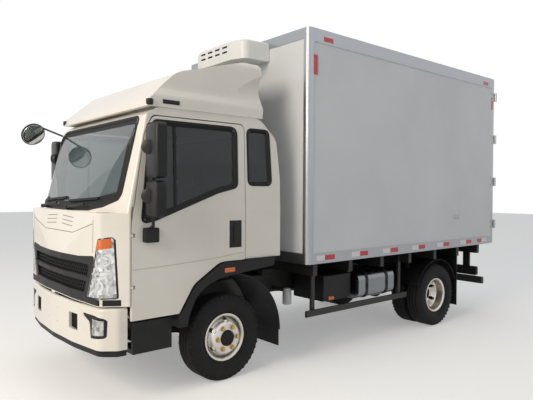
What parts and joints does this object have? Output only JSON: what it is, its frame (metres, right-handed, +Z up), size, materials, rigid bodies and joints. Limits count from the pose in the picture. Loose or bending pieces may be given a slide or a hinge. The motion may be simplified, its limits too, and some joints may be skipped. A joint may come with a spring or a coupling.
{
  "type": "refrigerated truck",
  "caption": "Light refrigerated truck: tilting cab with roof fairing, insulated box with rear doors and front cooling unit, twin rear wheels.",
  "frame": {"origin": "on the ground at the middle of the truck's bounding box", "axes": "+Z up, the truck faces -Y, and its left side is +X"},
  "size_m": [2.48, 6.018, 3.43],
  "materials": {
    "cab_paint": "gloss cream paint on pressed steel",
    "box_panel": "smooth white glass-fibre sandwich panel",
    "aluminium": "extruded aluminium",
    "black_plastic": "grained black plastic",
    "frame_steel": "black chassis paint",
    "cast_steel": "bare and painted castings",
    "wheel_steel": "silver wheel paint",
    "tyre": "moulded rubber",
    "glass": "tinted safety glass",
    "lamp": "clear lens over a bright reflector",
    "red_lens": "red lens",
    "seat_cloth": "woven seat cloth",
    "stainless": "brushed stainless steel"
  },
  "bodies": {
    "chassis": {"ladder_frame": "frame_steel", "front_axle": "cast_steel", "rear_axle": "cast_steel", "leaf_springs": "frame_steel", "propeller_shaft": "frame_steel", "engine_and_gearbox": "cast_steel", "fuel_tank": "aluminium", "battery_box": "black_plastic", "muffler": "frame_steel", "side_guards": "frame_steel", "rear_underrun": "frame_steel", "mudguards": "black_plastic", "tail_lamps": "red_lens", "cab_steps": "black_plastic", "bumper": "cab_paint", "bumper_lip": "black_plastic", "fog_lamps": "lamp", "box_floor": "frame_steel", "box_side_walls": "box_panel", "box_roof": "box_panel", "box_front_wall": "box_panel", "box_rear_frame": "stainless", "box_edge_trim": "aluminium", "fridge_unit": "box_panel"},
    "cab": {"cab_floor": "cab_paint", "cab_rear_wall": "cab_paint", "cab_roof": "cab_paint", "cab_side_frames": "cab_paint", "cab_front": "cab_paint", "grille": "black_plastic", "headlamps": "lamp", "cab_glass": "glass", "wipers": "black_plastic", "roof_fairing": "cab_paint", "seats": "seat_cloth", "dashboard": "black_plastic", "arch_flares": "black_plastic", "corner_mirror": "black_plastic"},
    "steering_wheel": {"steering_wheel": "black_plastic"},
    "left_cab_door": {"left_door": "cab_paint", "left_door_glass": "glass", "left_mirror": "black_plastic"},
    "right_cab_door": {"right_door": "cab_paint", "right_door_glass": "glass", "right_mirror": "black_plastic"},
    "left_knuckle": {"left_knuckle": "cast_steel"},
    "right_knuckle": {"right_knuckle": "cast_steel"},
    "tie_rod": {"tie_rod": "cast_steel"},
    "front_left_wheel": {"front_left_rim": "wheel_steel", "front_left_tyre": "tyre"},
    "front_right_wheel": {"front_right_rim": "wheel_steel", "front_right_tyre": "tyre"},
    "rear_left_wheels": {"rear_left_rims": "wheel_steel", "rear_left_tyres": "tyre"},
    "rear_right_wheels": {"rear_right_rims": "wheel_steel", "rear_right_tyres": "tyre"},
    "rear_left_door": {"rear_left_door": "box_panel", "rear_left_ironwork": "stainless"},
    "rear_right_door": {"rear_right_door": "box_panel", "rear_right_ironwork": "stainless"}
  },
  "joints": [
    {"name": "cab_tilt", "type": "hinge", "parent": "chassis", "child": "cab", "pos_m": [0, -2.904, 0.58], "axis": [1, 0, 0], "range_deg": [0, 45]},
    {"name": "left_door_swing", "type": "hinge", "parent": "cab", "child": "left_cab_door", "pos_m": [0.977, -2.701, 1.4], "axis": [0, 0, -1], "range_deg": [0, 70]},
    {"name": "right_door_swing", "type": "hinge", "parent": "cab", "child": "right_cab_door", "pos_m": [-0.977, -2.701, 1.4], "axis": [0, 0, 1], "range_deg": [0, 70]},
    {"name": "left_steer", "type": "hinge", "parent": "chassis", "child": "left_knuckle", "pos_m": [0.7, -1.724, 0.403], "axis": [0, 0, 1], "range_deg": [-35, 35]},
    {"name": "right_steer", "type": "hinge", "parent": "chassis", "child": "right_knuckle", "pos_m": [-0.7, -1.724, 0.403], "axis": [0, 0, 1], "range_deg": [-35, 35]},
    {"name": "tie_rod_turn", "type": "hinge", "parent": "left_knuckle", "child": "tie_rod", "pos_m": [0.7, -1.584, 0.403], "axis": [0, 0, 1], "range_deg": [-35, 35]},
    {"name": "steering_wheel_turn", "type": "hinge", "parent": "cab", "child": "steering_wheel", "pos_m": [0.44, -2.364, 1.52], "axis": [0, 0.5736, 0.8192], "range_deg": [-490, 490]},
    {"name": "front_left_spin", "type": "hinge", "parent": "left_knuckle", "child": "front_left_wheel", "pos_m": [0.812, -1.724, 0.403], "axis": [1, 0, 0], "continuous": true},
    {"name": "front_right_spin", "type": "hinge", "parent": "right_knuckle", "child": "front_right_wheel", "pos_m": [-0.812, -1.724, 0.403], "axis": [1, 0, 0], "continuous": true},
    {"name": "rear_left_spin", "type": "hinge", "parent": "chassis", "child": "rear_left_wheels", "pos_m": [0.925, 1.636, 0.403], "axis": [1, 0, 0], "continuous": true},
    {"name": "rear_right_spin", "type": "hinge", "parent": "chassis", "child": "rear_right_wheels", "pos_m": [-0.925, 1.636, 0.403], "axis": [1, 0, 0], "continuous": true},
    {"name": "rear_left_door_swing", "type": "hinge", "parent": "chassis", "child": "rear_left_door", "pos_m": [1.124, 2.994, 2.2], "axis": [0, 0, -1], "range_deg": [0, 270]},
    {"name": "rear_right_door_swing", "type": "hinge", "parent": "chassis", "child": "rear_right_door", "pos_m": [-1.124, 2.994, 2.2], "axis": [0, 0, 1], "range_deg": [0, 270]}
  ],
  "couplings": [
    {"joint": "right_steer", "follows": "left_steer", "ratio": 1},
    {"joint": "tie_rod_turn", "follows": "left_steer", "ratio": -1},
    {"joint": "steering_wheel_turn", "follows": "left_steer", "ratio": 14}
  ]
}
